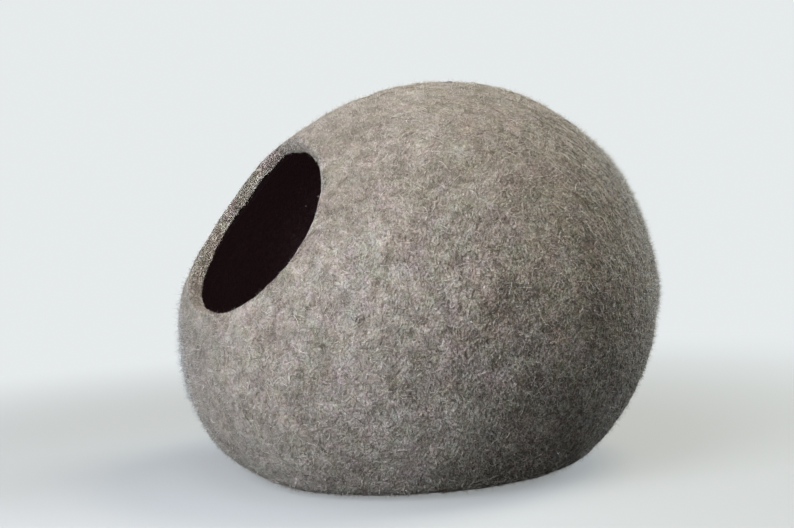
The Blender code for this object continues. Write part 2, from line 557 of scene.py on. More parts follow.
def zone_shares(zones):
    """Shares for the rows of some zones, evenly spread in each."""
    shares = [LIP_SHARE]
    for to_share, rows in zones:
        start = shares[-1]
        shares.extend(start + (to_share - start) * np.arange(1, rows + 1) / rows)
    return np.array(shares)


def outer_rows(shares, around):
    """The outer face on the grid of shares and angles."""
    share, turn = np.meshgrid(shares, around, indexing="ij")
    return skin(ring_direction(share, turn))


def inner_rows(shares, around):
    """The inner face: the body's smooth face moved in along its normal by the thickness."""
    share, turn = np.meshgrid(shares, around, indexing="ij")
    direction = ring_direction(share, turn)
    face = body_face(direction)
    down = body_face(ring_direction(share + NEARBY, turn)) - body_face(ring_direction(share - NEARBY, turn))
    along = body_face(ring_direction(share, turn + NEARBY)) - body_face(ring_direction(share, turn - NEARBY))
    normal = unit(np.cross(down, along))
    lumps = 0.0
    for order, (wavelength, swing, waves) in enumerate(INSIDE_LUMPS):
        lumps = lumps + plane_waves(face, wavelength, waves, INSIDE_LUMPS_SEED + order) * swing
    lumps = lumps * np.clip((share - LIP_SHARE) / INSIDE_LUMPS_FADE, 0.0, 1.0)
    bead = round_bells(turn, LIP_BEADS) * np.exp(-((share / BEAD_SHARE) ** 2))
    depth = FELT + bead + np.clip(lumps, -INSIDE_LUMPS_MOST, INSIDE_LUMPS_MOST)
    return face - normal * depth[..., None] + SHIFT


print("rings outside", len(zone_shares(OUTER_ZONES)), "and inside", len(zone_shares(INNER_ZONES)))

# %% The section of the lip
def lip_profile():
    """The lip's section: how far across the thickness and how far towards the cut, in metres.

    A quarter circle turns the outer face onto the cut face, which bellies out a little as
    half a sine, and a smaller quarter circle turns it onto the inner face.
    """
    outer, face, inner = LIP_ZONES
    turn = np.pi / 2.0 * np.arange(1, outer + 1) / outer
    across = [OUTER_ROUND * (1.0 - np.cos(turn))]
    reach = [LIP_BACK - OUTER_ROUND * (1.0 - np.sin(turn))]
    flat = FELT - OUTER_ROUND - INNER_ROUND
    share = np.arange(1, face + 1) / face
    across.append(OUTER_ROUND + flat * share)
    reach.append(LIP_BACK + CUT_BULGE * np.sin(np.pi * share))
    turn = np.pi / 2.0 * np.arange(1, inner + 1) / inner
    across.append(FELT - INNER_ROUND * (1.0 - np.sin(turn)))
    reach.append(LIP_BACK - INNER_ROUND * (1.0 - np.cos(turn)))
    return np.concatenate(across), np.concatenate(reach)


def lip_rows(around):
    """The lip: its section laid between the outer face, the cut and the inner face."""
    outside = outer_rows(np.array([LIP_SHARE]), around)[0]
    inside = inner_rows(np.array([LIP_SHARE]), around)[0]
    cut = outer_rows(np.array([0.0]), around)[0]
    across, reach = lip_profile()
    through = (inside - outside) / FELT
    towards = (cut - outside) / LIP_BACK
    rows = outside + across[:, None, None] * through + reach[:, None, None] * towards
    rough = 0.0
    for order, wavelength in enumerate(CUT_WAVES):
        rough = rough + plane_waves(rows, wavelength, CUT_WAVE_COUNT, CUT_SEED + order) * CUT_ROUGH
    weight = np.sin(np.pi * np.clip(across / FELT, 0.0, 1.0))[:, None]
    return rows + (rough * weight)[..., None] * unit(towards)


print("the lip's section has", len(lip_profile()[0]), "points")

# %% Meshes from grids
def quads(rows, columns):
    """Faces of a grid that closes round its columns."""
    row, column = np.meshgrid(np.arange(rows - 1), np.arange(columns), indexing="ij")
    after = (column + 1) % columns
    here = row * columns
    below = here + columns
    return np.stack([here + column, here + after, below + after, below + column], axis=-1).reshape(-1, 4)


def fan(ring_start, columns, pole, flip):
    """Triangles from the last ring to the pole."""
    column = np.arange(columns)
    after = (column + 1) % columns
    corners = [ring_start + column, ring_start + after, np.full(columns, pole)]
    if flip:
        corners = [corners[1], corners[0], corners[2]]
    return np.stack(corners, axis=-1)


def mesh_from(name, points, face_sets):
    """A mesh from points and some arrays of triangles or quads, each filled in one go."""
    mesh = bpy.data.meshes.new(name)
    corners = np.concatenate([faces.ravel() for faces in face_sets])
    sizes = np.concatenate([np.full(len(faces), faces.shape[1]) for faces in face_sets])
    starts = np.concatenate([[0], np.cumsum(sizes)[:-1]])
    mesh.vertices.add(len(points))
    mesh.vertices.foreach_set("co", points.astype(np.float32).ravel())
    mesh.loops.add(len(corners))
    mesh.loops.foreach_set("vertex_index", corners.astype(np.int32))
    mesh.polygons.add(len(sizes))
    mesh.polygons.foreach_set("loop_start", starts.astype(np.int32))
    mesh.update(calc_edges=True)
    mesh.validate()
    mesh.shade_smooth()
    return mesh


def add_piece(name, mesh):
    """An object for a mesh, at the origin and in the scene."""
    piece = bpy.data.objects.new(name, mesh)
    bpy.context.scene.collection.objects.link(piece)
    return piece


print("a square ring of four columns and three rows has", len(quads(3, 4)), "faces")

# %% [markdown]
# ## The shell as one mesh
#
# The rows of the three stretches are stacked into one grid, and a fan of triangles closes
# each end on a point under the foot. Vertex paint could carry what the material has to know
# about a place. Point attributes hold plain numbers more exactly, so the mesh gets four of
# them: how far past the lip's inner corner a point lies, how much wool is heaped there, how
# much paler the wool is made, and how coarse. The material turns the heaped values into
# painted shade in the troughs and painted light on the ridges. The paler values hold painted
# light on the far side, and the coarse values hold partly painted shade.

# %% The shell
HEAP_UNIT = 0.001            # a crease or ridge of this height has a heaped value of one
DARK_ROWS = 8                # rows behind the lip that keep the material with both wools


def set_values(mesh, name, values):
    """One number for each point of a mesh."""
    layer = mesh.attributes.new(name, "FLOAT", "POINT")
    layer.data.foreach_set("value", values.astype(np.float32))


def make_shell():
    """The whole felt shell as one closed mesh, with its values at the points.

    The distance past the lip is the length travelled down each column, less what it was at
    the lip's inner corner.
    """
    around = np.arange(COLUMNS) * 2.0 * np.pi / COLUMNS
    outer = outer_rows(zone_shares(OUTER_ZONES), around)[::-1]
    lip = lip_rows(around)
    inner = inner_rows(zone_shares(INNER_ZONES), around)
    grid = np.concatenate([outer, lip, inner])
    rows = len(grid)
    outer_pole = skin(np.array([[0.0, 0.0, -1.0]]))
    inner_pole = outer_pole + np.array([0.0, 0.0, FELT])
    points = np.concatenate([grid.reshape(-1, 3), outer_pole, inner_pole])
    walls = quads(rows, COLUMNS)
    foot = fan(0, COLUMNS, rows * COLUMNS, True)
    floor = fan((rows - 1) * COLUMNS, COLUMNS, rows * COLUMNS + 1, False)
    mesh = mesh_from("felt_shell_wool", points, [walls, foot, floor])

    steps = np.linalg.norm(np.diff(grid, axis=0), axis=-1)
    travelled = np.concatenate([np.zeros((1, COLUMNS)), np.cumsum(steps, axis=0)])
    corner = len(outer) + sum(LIP_ZONES) - INNER_MIDDLE
    past_lip = (travelled - travelled[corner]).ravel()
    past_lip = np.concatenate([past_lip, [past_lip.min(), past_lip.max()]])
    set_values(mesh, "past_lip", past_lip)

    share, turn = np.meshgrid(zone_shares(OUTER_ZONES), around, indexing="ij")
    direction = ring_direction(share, turn)
    for name, amount, elsewhere in (
        ("heaped", crease_height(direction, CREASES) / HEAP_UNIT, 0.0),
        ("paler", bells(direction, PALER), 0.0),
        ("coarse_and_painted_shade", bells(direction, COARSE_GRAIN_AND_PAINTED_SHADE), COARSE_AND_PAINTED_SHADE_ELSEWHERE),
    ):
        values = np.full(len(points), elsewhere)
        values[:amount.size] = amount[::-1].ravel()
        set_values(mesh, name, values)

    deep = (len(outer) + len(lip) + DARK_ROWS) * COLUMNS
    material_of = np.zeros(len(mesh.polygons), np.int32)
    material_of[deep:len(walls)] = 1
    material_of[len(walls) + len(foot):] = 1
    mesh.polygons.foreach_set("material_index", material_of)
    return add_piece("felt_shell_wool", mesh), grid, len(outer)


shell, SHELL_GRID, LIP_START = make_shell()
FOOT_ROWS = OUTER_ZONES[-1][1]         # rows that lie flat on the table
mesh_low = [min(corner[axis] for corner in shell.bound_box) for axis in range(3)]
mesh_high = [max(corner[axis] for corner in shell.bound_box) for axis in range(3)]
print("shell", len(shell.data.polygons), "faces")
print("from", np.round(mesh_low, 4), "to", np.round(mesh_high, 4))

# %% [markdown]
# ## Materials
#
# Undyed wool for such a cave is a mix of fleeces: cream, grey, taupe and brown hairs, all
# matt. What the eye sees of them is a fine tangle of pale wandering lines on a darker
# ground, a millimetre or so wide, with thumb-wide clouds of warmer and cooler wool behind.
#
# Plain noise gives blobs, not lines. The lines come from one more step: wherever a smooth
# noise crosses its own middle value there is a thin curve, and one minus the distance from
# that value draws it. Three such layers, stretched and turned differently, cross like
# matted hairs. They tint the wool and, as bump, lift it. On the far side, which faces away
# from the lamps, the same grain is simply made stronger. In the tint that is partly painted
# shade: a darker ground between paler hairs, as grazing light would show it.
#
# The inside is the same felt in near-black wool. Grey and black meet in a ragged line just
# inside the lip, where the fibres of both layers are tangled. The near-black wool also has a
# faint painted glow, a light of its own that lifts the black inside the mouth.

# %% Node helpers
def new_material(name):
    """A material with its shader and its output, ready for more nodes."""
    material = bpy.data.materials.new(name)
    material.use_nodes = True
    return material, material.node_tree.nodes, material.node_tree.links


def noise(nodes, links, place, scale, detail, roughness, distortion=0.0):
    """A noise texture on a coordinate."""
    node = nodes.new("ShaderNodeTexNoise")
    node.inputs["Scale"].default_value = scale
    node.inputs["Detail"].default_value = detail
    node.inputs["Roughness"].default_value = roughness
    node.inputs["Distortion"].default_value = distortion
    links.new(place, node.inputs["Vector"])
    return node


def point_value(nodes, name):
    """A value that the mesh carries at its points."""
    node = nodes.new("ShaderNodeAttribute")
    node.attribute_name = name
    return node.outputs["Fac"]


def calculate(nodes, links, kind, first, second=0.0, third=0.0, clamp=False):
    """One step of arithmetic on values, any of which may be a number."""
    node = nodes.new("ShaderNodeMath")
    node.operation = kind
    node.use_clamp = clamp
    for socket, value in zip(node.inputs, (first, second, third)):
        if isinstance(value, (int, float)):
            socket.default_value = value
        else:
            links.new(value, socket)
    return node.outputs[0]


def weighted(nodes, links, parts):
    """The weighted sum of values about their middles."""
    total = 0.0
    for value, weight, middle in parts:
        total = calculate(nodes, links, "ADD", total, -weight * middle)
        total = calculate(nodes, links, "MULTIPLY_ADD", value, weight, total)
    return total


def ramp(nodes, links, value, stops):
    """A colour ramp with the given (position, colour) stops."""
    node = nodes.new("ShaderNodeValToRGB")
    elements = node.color_ramp.elements
    while len(elements) < len(stops):
        elements.new(0.5)
    for element, (position, colour) in zip(elements, stops):
        element.position = position
        element.color = (*colour, 1.0)
    links.new(value, node.inputs["Fac"])
    return node.outputs["Color"]


def mix_colours(nodes, links, factor, first, second, blend="MIX"):
    """Two colours mixed by a factor, through the mix node's own colour sockets, 6 and 7."""
    node = nodes.new("ShaderNodeMix")
    node.data_type = "RGBA"
    node.blend_type = blend
    for socket, value in ((node.inputs[0], factor), (node.inputs[6], first), (node.inputs[7], second)):
        if isinstance(value, float):
            socket.default_value = value
        elif isinstance(value, tuple):
            socket.default_value = (*value, 1.0)
        else:
            links.new(value, socket)
    return node.outputs[2]


def mapped(nodes, links, place, scale, turn):
    """A coordinate turned and then stretched, so that noise on it draws hairs one way."""
    node = nodes.new("ShaderNodeMapping")
    node.vector_type = "TEXTURE"
    node.inputs["Scale"].default_value = scale
    node.inputs["Rotation"].default_value = [math.radians(angle) for angle in turn]
    links.new(place, node.inputs["Vector"])
    return node.outputs["Vector"]


def bump(nodes, links, height, strength, distance, before=None):
    """A bump that lifts the surface by a height, on top of an earlier one."""
    node = nodes.new("ShaderNodeBump")
    node.inputs["Strength"].default_value = strength
    node.inputs["Distance"].default_value = distance
    links.new(height, node.inputs["Height"])
    if before is not None:
        links.new(before, node.inputs["Normal"])
    return node.outputs["Normal"]


print("node helpers ready")

# %% The tangle of hairs
HAIR_LAYERS = (
    # waves a metre, stretch, line sharpness, turn in degrees about X, Y and Z, weight
    (280.0, 2.4, 7.0, (20.0, 35.0, 10.0), 0.38),
    (400.0, 2.6, 7.0, (75.0, -25.0, 60.0), 0.36),
    (640.0, 3.0, 6.0, (-40.0, 70.0, 130.0), 0.26),
)
HAIR_WANDER = (1.0, 0.5, 1.1)          # detail, roughness and distortion of each layer
CLOUDS = (30.0, 2.0, 0.7, 0.5)         # waves a metre, detail, roughness, distortion
PATCHES = (78.0, 2.0, 0.6, 1.0)
TUFTS = (190.0, 3.0, 0.8, 0.8)
PEBBLES = (420.0, 1.5, 0.6, 0.6)
CLOUD_SHARE = 0.40
PATCH_SHARE = 0.54
MIDDLE = 0.5                 # the middle value of a noise
HAIR_MIDDLE = 0.69           # and of the hair lines


def hair_lines(nodes, links, place):
    """Pale lines, 0 to 1: one minus the distance of a smooth noise from its middle, by layers."""
    total = 0.0
    for scale, stretch, sharpness, turn, weight in HAIR_LAYERS:
        along = mapped(nodes, links, place, (1.0, 1.0, stretch), turn)
        wander = noise(nodes, links, along, scale, *HAIR_WANDER).outputs["Fac"]
        away = calculate(nodes, links, "SUBTRACT", wander, MIDDLE)
        away = calculate(nodes, links, "ABSOLUTE", away)
        line = calculate(nodes, links, "MULTIPLY_ADD", away, -sharpness, 1.0, clamp=True)
        total = calculate(nodes, links, "MULTIPLY_ADD", line, weight, total)
    return total


def wool_values(nodes, links):
    """The coordinate and the felt's values on it: broad patches, tufts, pebbles and hairs."""
    place = nodes.new("ShaderNodeTexCoord").outputs["Object"]
    clouds = noise(nodes, links, place, *CLOUDS).outputs["Fac"]
    patches = noise(nodes, links, place, *PATCHES).outputs["Fac"]
    tufts = noise(nodes, links, place, *TUFTS).outputs["Fac"]
    pebbles = noise(nodes, links, place, *PEBBLES).outputs["Fac"]
    broad = weighted(nodes, links, ((clouds, CLOUD_SHARE, MIDDLE), (patches, PATCH_SHARE, MIDDLE)))
    return place, broad, tufts, pebbles, hair_lines(nodes, links, place)


print("hair layers", len(HAIR_LAYERS))

# %% Colours of the wool
WOOL_DARK = (0.078, 0.064, 0.052)
WOOL_BROWN = (0.166, 0.143, 0.119)
WOOL_TAUPE = (0.238, 0.211, 0.184)
WOOL_GREY = (0.310, 0.282, 0.251)
WOOL_CREAM = (0.470, 0.438, 0.400)
WOOL_STOPS = (
    (0.18, WOOL_DARK),
    (0.38, WOOL_BROWN),
    (0.50, WOOL_TAUPE),
    (0.62, WOOL_GREY),
    (0.86, WOOL_CREAM),
)
HUES = (
    # waves a metre, how far red, green and blue drift apart
    (210.0, 0.42),
    (48.0, 0.42),
)
HUE_SHARE = 0.47             # share of that drift in the firm wool
HUE_COARSE = 0.53            # and how much more of it where the wool is coarsest
TUFT_SHARE = 0.36
HAIR_SHARE = 0.30
# painted shade in the crease troughs and painted light on their ridges, as a share of the tone
PAINTED_CREASE_SHADE_SHARE = 0.12
COARSER_AND_PAINTED_SHADE = 2.90               # how much stronger the grain is where the coarse value is highest; in the tint it is partly painted shade
LUMPY = 0.0026               # how high the pebbles stand, in metres
HAIRY = 0.00040              # how high the hairs stand
LIP_TINTS = (
    # middle and reach in metres past the inner corner, tint
    (-0.0125, 0.0034, (1.00, 1.00, 1.00)),     # outer corner, left in the wool's own tone
    (-0.0060, 0.0042, (0.92, 0.88, 0.83)),     # cut face, browner wool, and darker as painted shade between the cut fibre ends
    (-0.0024, 0.0030, (1.24, 1.23, 1.23)),     # inner corner, painted paler: a painted highlight, though it faces away from the lamps
)
DARK_WOOL = (0.045, 0.026, 0.028)
DARK_WOOL_LIGHT = (0.100, 0.066, 0.066)
DARK_STOPS = ((0.35, DARK_WOOL), (0.70, DARK_WOOL_LIGHT))
PAINTED_INSIDE_GLOW = (0.0062, 0.0031, 0.0038)      # painted glow: a trace of light that the near-black wool gives off itself
WRAP = 0.0035                # how far the grey wool reaches past the lip's inner corner
RAGGED = 0.0040              # how unevenly it ends
EDGE_SHARPNESS = 1500.0      # one over the metres in which grey turns to black
print("the wool's tones", [stop[0] for stop in WOOL_STOPS])

# %% Grey-brown wool of the outside
def tinted(nodes, links, place, colour, scale, amount):
    """A colour times one plus a small random colour, so that red, green and blue drift apart."""
    drift = noise(nodes, links, place, scale, 2.0, 0.65, 0.3).outputs["Color"]
    centred = nodes.new("ShaderNodeVectorMath")
    centred.operation = "MULTIPLY_ADD"
    links.new(drift, centred.inputs[0])
    centred.inputs[1].default_value = (amount, amount, amount)
    centred.inputs[2].default_value = (1.0 - amount / 2.0,) * 3
    return mix_colours(nodes, links, 1.0, colour, centred.outputs[0], "MULTIPLY")


def band(nodes, links, value, middle, reach):
    """One at the middle and falling evenly to nothing at the reach on either side."""
    away = calculate(nodes, links, "SUBTRACT", value, middle)
    away = calculate(nodes, links, "ABSOLUTE", away)
    return calculate(nodes, links, "MULTIPLY_ADD", away, -1.0 / reach, 1.0, clamp=True)


def make_heathered_wool():
    """Heathered grey-brown wool that turns near-black past the lip."""
    material, nodes, links = new_material("heathered_wool")
    shader = nodes["Principled BSDF"]
    place, broad, tufts, pebbles, hairs = wool_values(nodes, links)
    heaped = point_value(nodes, "heaped")
    paler = point_value(nodes, "paler")
    grain = weighted(nodes, links, ((tufts, TUFT_SHARE, MIDDLE), (hairs, HAIR_SHARE, HAIR_MIDDLE)))
    coarse_and_painted_shade = point_value(nodes, "coarse_and_painted_shade")
    # partly painted shade: the grain's contrast in the tint is made stronger on the far side, which faces
    # away from the lamps
    coarseness_and_painted_shade = calculate(nodes, links, "MULTIPLY_ADD", coarse_and_painted_shade, COARSER_AND_PAINTED_SHADE, 1.0)
    grain = calculate(nodes, links, "MULTIPLY", grain, coarseness_and_painted_shade)
    # painted light and shade in the tone: crease ridges paler and troughs darker, and the broad paler place
    # on the far side
    parts = ((broad, 1.0, -MIDDLE), (grain, 1.0, 0.0), (heaped, PAINTED_CREASE_SHADE_SHARE, 0.0), (paler, 1.0, 0.0))
    tone = weighted(nodes, links, parts)
    grey = ramp(nodes, links, tone, WOOL_STOPS)
    hued = grey
    for scale, amount in HUES:
        hued = tinted(nodes, links, place, hued, scale, amount)
    strength = calculate(nodes, links, "MULTIPLY_ADD", coarse_and_painted_shade, HUE_COARSE, HUE_SHARE)
    grey = mix_colours(nodes, links, strength, grey, hued)

    past = point_value(nodes, "past_lip")
    # the lip's tints: the cut face browner and partly painted shade, the inner corner a painted highlight
    for middle, reach, tint in LIP_TINTS:
        here = band(nodes, links, past, middle, reach)
        lip_tone_and_painted_light = mix_colours(nodes, links, 1.0, grey, tint, "MULTIPLY")
        grey = mix_colours(nodes, links, here, grey, lip_tone_and_painted_light)
    frayed = weighted(nodes, links, ((tufts, RAGGED, MIDDLE), (hairs, RAGGED, HAIR_MIDDLE)))
    edge = calculate(nodes, links, "ADD", past, frayed)
    start = 0.5 - EDGE_SHARPNESS * WRAP
    inside = calculate(nodes, links, "MULTIPLY_ADD", edge, EDGE_SHARPNESS, start, clamp=True)
    black = ramp(nodes, links, tufts, DARK_STOPS)
    colour = mix_colours(nodes, links, inside, grey, black)
    links.new(colour, shader.inputs["Base Color"])
    # painted glow: past the lip the near-black wool gives off a faint light of its own
    glow = mix_colours(nodes, links, inside, (0.0, 0.0, 0.0), PAINTED_INSIDE_GLOW)
    links.new(glow, shader.inputs["Emission Color"])
    shader.inputs["Emission Strength"].default_value = 1.0

    lumps = calculate(nodes, links, "MULTIPLY", pebbles, coarseness_and_painted_shade)
    lumpy = bump(nodes, links, lumps, 1.0, LUMPY)
    hairy = bump(nodes, links, hairs, 1.0, HAIRY, lumpy)
    links.new(hairy, shader.inputs["Normal"])
    shader.inputs["Roughness"].default_value = 0.95
    shader.inputs["Specular IOR Level"].default_value = 0.10
    shader.inputs["Sheen Weight"].default_value = 0.15
    shader.inputs["Sheen Roughness"].default_value = 0.50
    shader.inputs["Sheen Tint"].default_value = (0.95, 0.93, 0.90, 1.0)
    return material


heathered_wool = make_heathered_wool()
print("heathered wool has", len(heathered_wool.node_tree.nodes), "nodes")

# %% Near-black wool of the inside
def make_dark_wool():
    """The near-black wool of the inside, with a faint brown cast."""
    material, nodes, links = new_material("dark_inside_wool")
    shader = nodes["Principled BSDF"]
    _, _, tufts, pebbles, hairs = wool_values(nodes, links)
    black = ramp(nodes, links, tufts, DARK_STOPS)
    links.new(black, shader.inputs["Base Color"])
    lumpy = bump(nodes, links, pebbles, 1.0, LUMPY)
    hairy = bump(nodes, links, hairs, 1.0, HAIRY, lumpy)
    links.new(hairy, shader.inputs["Normal"])
    # painted glow: the near-black wool gives off a faint light of its own
    shader.inputs["Emission Color"].default_value = (*PAINTED_INSIDE_GLOW, 1.0)
    shader.inputs["Emission Strength"].default_value = 1.0
    shader.inputs["Roughness"].default_value = 0.97
    shader.inputs["Specular IOR Level"].default_value = 0.08
    return material


dark_inside_wool = make_dark_wool()
print("dark inside wool has", len(dark_inside_wool.node_tree.nodes), "nodes")
shell.data.materials.append(heathered_wool)
shell.data.materials.append(dark_inside_wool)

# %% [markdown]
# ## Loose fibres
#
# Felt has a halo: short fine hairs stand out all over it and blur the outline, longer ones
# lie curled on the skin, and a few coarse pale ones stick out. Blender's hair could grow
# them, but the finished pieces have to be plain meshes. Here each hair is a plain mesh
# instead, a thin three-sided tube, worked out for thousands of hairs at once: a root on the
# skin, a heading that turns a little at every step, and a radius that runs out to a point.

# %% Hair strands as tubes
HAIR_SIDES = 3
HAIR_TAPER = 0.75            # share of its thickness that a hair loses before its tip
ACROSS_HAIRS = np.array([0.37, 0.61, 0.70])    # slanted heading that few hairs follow
HAIR_ROOT_DEPTH = 0.0003     # how deep a hair is rooted in the felt
HAIR_FLOOR = 0.0004          # hairs never reach lower than this above the table


def strand_lines(root, out, turning, length, joints):
    """Centre lines: from each root, equal steps whose heading turns by the same small amount."""
    line = [root]
    step = (length / (joints - 1))[:, None]
    for _ in range(joints - 1):
        out = unit(out + turning)
        line.append(line[-1] + out * step)
    return np.stack(line, axis=1)


def strand_tubes(name, lines, radius, colour):
    """Closed tubes round many centre lines at once, pointed at the tip.

    Round each line's joints lie rings of three points, at the radius times a taper, in the
    plane of two vectors: the hair's heading crossed with one slanted heading, and the cross
    product of that with the hair again.
    """
    count, joints, _ = lines.shape
    lines[..., 2] = np.maximum(lines[..., 2], HAIR_FLOOR)
    forward = unit(np.gradient(lines, axis=1))[:, :-1]
    upward = unit(np.cross(forward, ACROSS_HAIRS))
    sideways = np.cross(upward, forward)
    taper = 1.0 - HAIR_TAPER * (np.arange(joints - 1) / (joints - 1)) ** 2
    size = (radius[:, None] * taper)[..., None]
    rings = []
    for side in range(HAIR_SIDES):
        angle = 2.0 * np.pi * side / HAIR_SIDES
        rings.append(lines[:, :-1] + (np.cos(angle) * sideways + np.sin(angle) * upward) * size)
    rings = np.stack(rings, axis=2).reshape(count, -1, 3)
    points = np.concatenate([rings, lines[:, -1:]], axis=1)
    per_hair = points.shape[1]

    wall = quads(joints - 1, HAIR_SIDES)
    tip = fan((joints - 2) * HAIR_SIDES, HAIR_SIDES, per_hair - 1, False)
    root_cap = np.array([[2, 1, 0]])
    start = np.arange(count)[:, None, None] * per_hair
    face_sets = [(faces[None] + start).reshape(-1, faces.shape[1]) for faces in (wall, tip, root_cap)]
    mesh = mesh_from(name, points.reshape(-1, 3), face_sets)
    layer = mesh.attributes.new("wool_colour", "FLOAT_COLOR", "POINT")
    shades = np.concatenate([colour, np.ones((count, 1))], axis=1)
    shades = np.repeat(shades[:, None], per_hair, axis=1)
    layer.data.foreach_set("color", shades.astype(np.float32).ravel())
    return add_piece(name, mesh)


print("a straight hair takes", 2 * HAIR_SIDES - 2, "triangles")

# %% Colours of the hairs
FLEECE = np.array([
    # red, green, blue, share of the hairs
    (0.48, 0.44, 0.40, 0.30),    # cream
    (0.34, 0.31, 0.28, 0.30),    # grey
    (0.23, 0.20, 0.17, 0.20),    # taupe
    (0.11, 0.09, 0.07, 0.12),    # brown
    (0.66, 0.63, 0.59, 0.08),    # white
])
CURLED_FLEECE = np.array([
    (0.50, 0.465, 0.42, 0.38),   # the coarser wool is either pale or nearly black
    (0.62, 0.585, 0.54, 0.05),
    (0.34, 0.31, 0.28, 0.20),
    (0.080, 0.065, 0.052, 0.37),
])
COARSE_FLEECE = np.array([
    (0.43, 0.400, 0.36, 0.36),   # the looser wool of the far side is greyer
    (0.50, 0.470, 0.43, 0.05),
    (0.26, 0.235, 0.205, 0.17),
    (0.070, 0.056, 0.046, 0.42),
])
HALO_FLEECE = np.array([
    (0.62, 0.590, 0.55, 0.40),   # the finest hairs let light through and look palest
    (0.46, 0.430, 0.39, 0.40),
    (0.30, 0.270, 0.24, 0.20),
])
LOOSE_FLEECE = np.array([
    (0.54, 0.55, 0.57, 0.45),    # cooler grey than the rest
    (0.40, 0.41, 0.42, 0.35),
    (0.27, 0.265, 0.26, 0.20),
])
DARK_FLEECE = np.array([
    (0.030, 0.018, 0.018, 0.60),
    (0.060, 0.038, 0.036, 0.30),
    (0.120, 0.090, 0.080, 0.10),
])


def fleece_colours(draw, count, fleece):
    """A colour for each hair, drawn from the fleece's own colours by their shares."""
    share = fleece[:, 3] / fleece[:, 3].sum()
    chosen = draw.choice(len(fleece), size=count, p=share)
    shade = draw.uniform(0.85, 1.15, size=(count, 1))
    return np.clip(fleece[chosen, :3] * shade, 0.0, 0.9)


fleeces = (FLEECE, CURLED_FLEECE, COARSE_FLEECE, HALO_FLEECE, LOOSE_FLEECE, DARK_FLEECE)
print("colours in each fleece", [len(fleece) for fleece in fleeces])

# %% Where hairs grow, and which way
SHORTNESS = 1.6              # the higher, the fewer hairs reach their full length
TO_SKIN = 0.12               # how much a hair's heading falls back towards the skin at each step
CURL_LEAST = 0.1             # turn of the heading at each step
CURL_MOST = 0.7


def places_on(draw, strip, count, gathered=None):
    """Random places on a strip of the shell's grid, with their outward normals.

    They are even by area, or thickest under the bells of a table.
    """
    here = strip[:-1]
    onward = strip[1:] - here
    along = np.roll(strip, -1, axis=1)[:-1] - here
    normal = np.cross(along, onward)
    area = np.linalg.norm(normal, axis=-1)
    if gathered is not None:
        area = area * bells(direction_of(here), gathered)
    cell = draw.choice(area.size, size=count, p=(area / area.sum()).ravel())
    row, column = np.divmod(cell, strip.shape[1])
    share_on = draw.uniform(size=(count, 1))
    share_along = draw.uniform(size=(count, 1))
    place = here[row, column] + onward[row, column] * share_on + along[row, column] * share_along
    return place, unit(normal[row, column])


def random_across(draw, normal):
    """A random unit heading in the plane across each normal."""
    wild = draw.normal(size=normal.shape)
    wild = wild - (wild * normal).sum(axis=-1)[:, None] * normal
    return unit(wild)


def standing_hairs(name, seed, strip, count, lengths, width, lift, fleece, joints=2, gathered=None):
    """Short hairs that stand out of a strip of the skin at a slant, most of them quite short.

    Each heads a random way across the skin plus a share of the normal, the lift.  With two
    joints a hair is a straight spike; with more it curls over.
    """
    draw = np.random.default_rng(seed)
    place, normal = places_on(draw, strip, count, gathered)
    steep = draw.uniform(*lift, size=(count, 1))
    out = unit(random_across(draw, normal) + normal * steep)
    curl = draw.uniform(CURL_LEAST, CURL_MOST, size=(count, 1))
    turning = random_across(draw, out) * curl - normal * TO_SKIN
    shortest, longest = lengths
    length = shortest + (longest - shortest) * draw.uniform(size=count) ** SHORTNESS
    lines = strand_lines(place - normal * HAIR_ROOT_DEPTH, out, turning, length, joints)
    radius = width / 2.0 * draw.uniform(0.6, 1.4, size=count)
    return strand_tubes(name, lines, radius, fleece_colours(draw, count, fleece))


print("standing hairs lean towards the skin by", TO_SKIN, "at each joint")

# %% Hairs that lie on the skin
STEP_ASIDE = 0.5             # degrees, for finding the headings at a place
LEAST_LIFT = 0.00008         # metres between the skin and the lowest joint of a lying hair
WAVE_START = 0.35            # the wave that lifts a lying hair, in radians along a sine
WAVE_END = 5.6


def compass(around, above, bearing):
    """Unit headings across the skin at a place: bearing 0 is up, 90 is onward round the cave."""
    up = unit(heading(around, above + STEP_ASIDE) - heading(around, above - STEP_ASIDE))
    east = unit(heading(around + STEP_ASIDE, above) - heading(around - STEP_ASIDE, above))
    turn = np.radians(bearing)[:, None]
    return np.cos(turn) * up + np.sin(turn) * east


def lying_hairs(name, around, above, bearing, length, curl, width, lift, colour, joints):
    """Longer hairs that lie curled on the skin.

    Each is first drawn straight through the air with its heading turning at every joint.
    Then every joint is put back onto the skin below it, lifted by a wave along the hair.
    """
    direction = heading(around, above)
    out = compass(around, above, bearing)
    turning = np.cross(direction, out) * curl[:, None]
    flat = strand_lines(skin(direction), out, turning, length, joints)
    under = direction_of(flat)
    wave = np.abs(np.sin(np.linspace(WAVE_START, WAVE_END, joints)))
    lines = skin(under) + under * (LEAST_LIFT + lift[:, None] * wave)[..., None]
    return strand_tubes(name, lines, width / 2.0, colour)


level_front = np.array([0.0])
onward_at_front = compass(level_front, level_front, np.array([90.0]))
print("onward round the cave, at its front, is", onward_at_front.round(3))

# %% [markdown]
# ## Nap, halo and lip
#
# The nap is the dense short fuzz that the hand feels. The halo is longer and finer, and it
# shows mostly along the outline, where light comes through it. Rolling the felt wet lays
# the fuzz down, but some places at the sides were rolled less and stay looser. The scissors
# cut the lip clean, so its hairs are the shortest, with small tufts at the inner corner.
#
# A particle system could scatter all of these. Here each kind is a row of one table: how
# many, on which strip of the shell, how long, how wide, how steep, in which wool. The halo
# stays a little away from the mouth, so that no long hair crosses the clean edge.

